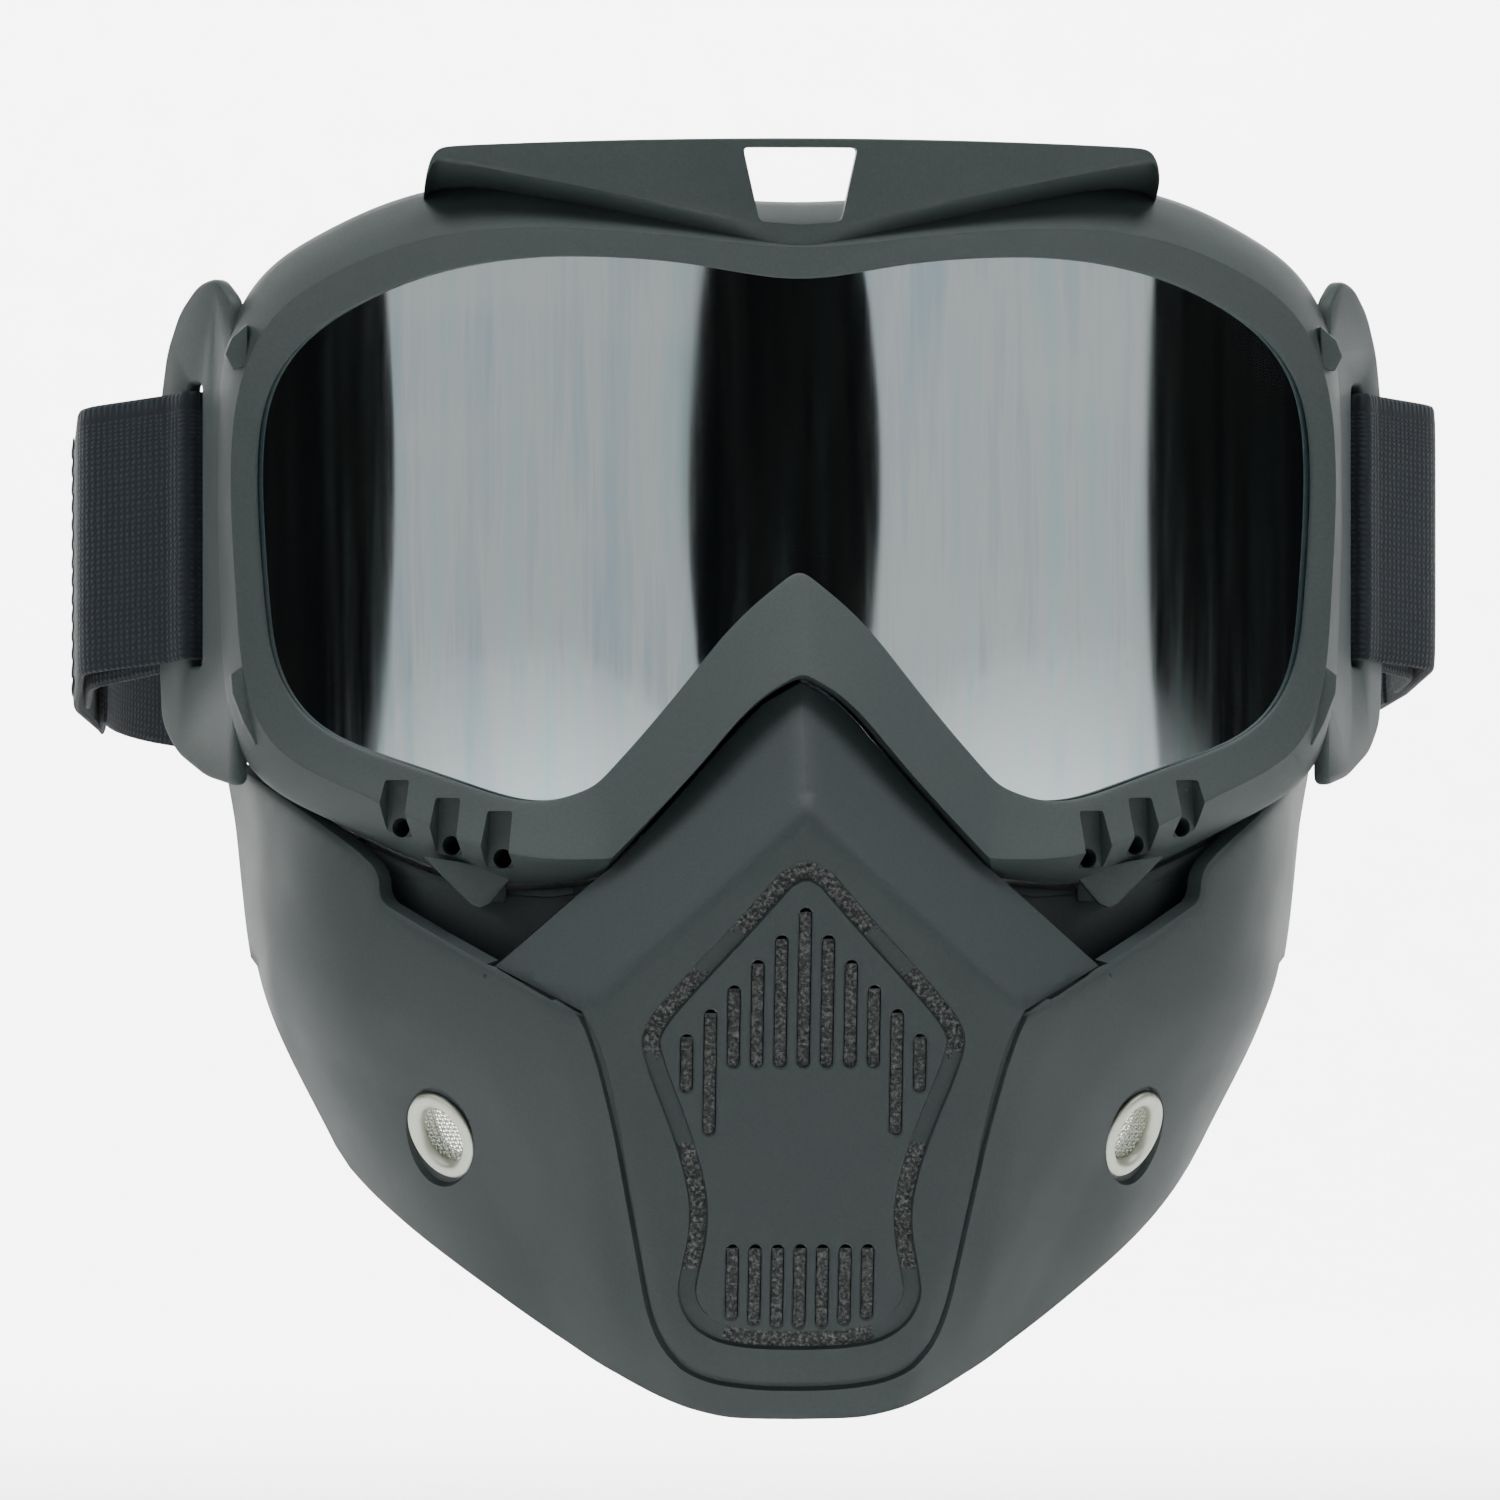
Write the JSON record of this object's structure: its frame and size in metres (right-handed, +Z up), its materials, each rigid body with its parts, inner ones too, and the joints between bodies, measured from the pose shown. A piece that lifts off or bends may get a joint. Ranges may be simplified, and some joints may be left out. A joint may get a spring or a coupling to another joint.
{
  "type": "riding goggles with face mask",
  "caption": "Wraparound riding goggles with a mirrored tinted lens, foam face seal and elastic head strap, and a detachable ventilated mask for the nose, mouth and chin.",
  "frame": {"origin": "middle of the face seal's opening, on the wearer's brow", "axes": "+X to the wearer's left, +Y back into the wearer's face, +Z up"},
  "size_m": [0.1994, 0.1634, 0.1871],
  "materials": {
    "frame_plastic": "fine moulded grain, black-grey",
    "lens_tint": "mirror-coated smoke polycarbonate",
    "gasket_rubber": "soft black",
    "inner_plastic": "satin black",
    "seal_foam": "fleece-faced foam, black",
    "strap_elastic": "knitted elastic, dark navy",
    "slider_plastic": "moulded nylon, black",
    "mask_plastic": "fine moulded grain, black-grey",
    "filter_foam": "open-cell foam, dark grey",
    "eyelet_nickel": "pale nickel plate",
    "mesh_steel": "woven wire"
  },
  "bodies": {
    "goggles": {"goggle_frame": "frame_plastic", "lens": "lens_tint", "lens_gasket": "gasket_rubber", "inner_frame": "inner_plastic", "face_foam": "seal_foam", "strap_left": "strap_elastic", "strap_right": "strap_elastic"},
    "mask": {"mask_shell": "mask_plastic", "mouth_filter": "filter_foam", "filter_retainer": "inner_plastic", "eyelet_left": "eyelet_nickel", "eyelet_right": "eyelet_nickel", "eyelet_washer_left": "eyelet_nickel", "eyelet_washer_right": "eyelet_nickel", "eyelet_mesh_left": "mesh_steel", "eyelet_mesh_right": "mesh_steel"},
    "strap_slider_left": {"slider_left": "slider_plastic"},
    "strap_slider_right": {"slider_right": "slider_plastic"}
  },
  "joints": [
    {"name": "mask_detach", "type": "slide", "parent": "goggles", "child": "mask", "axis": [0, 0, -1], "range_m": [0, 0.06]},
    {"name": "slider_left_travel", "type": "slide", "parent": "goggles", "child": "strap_slider_left", "axis": [1, 0, 0], "range_m": [-0.01, 0.01]},
    {"name": "slider_right_travel", "type": "slide", "parent": "goggles", "child": "strap_slider_right", "axis": [1, 0, 0], "range_m": [-0.01, 0.01]}
  ]
}
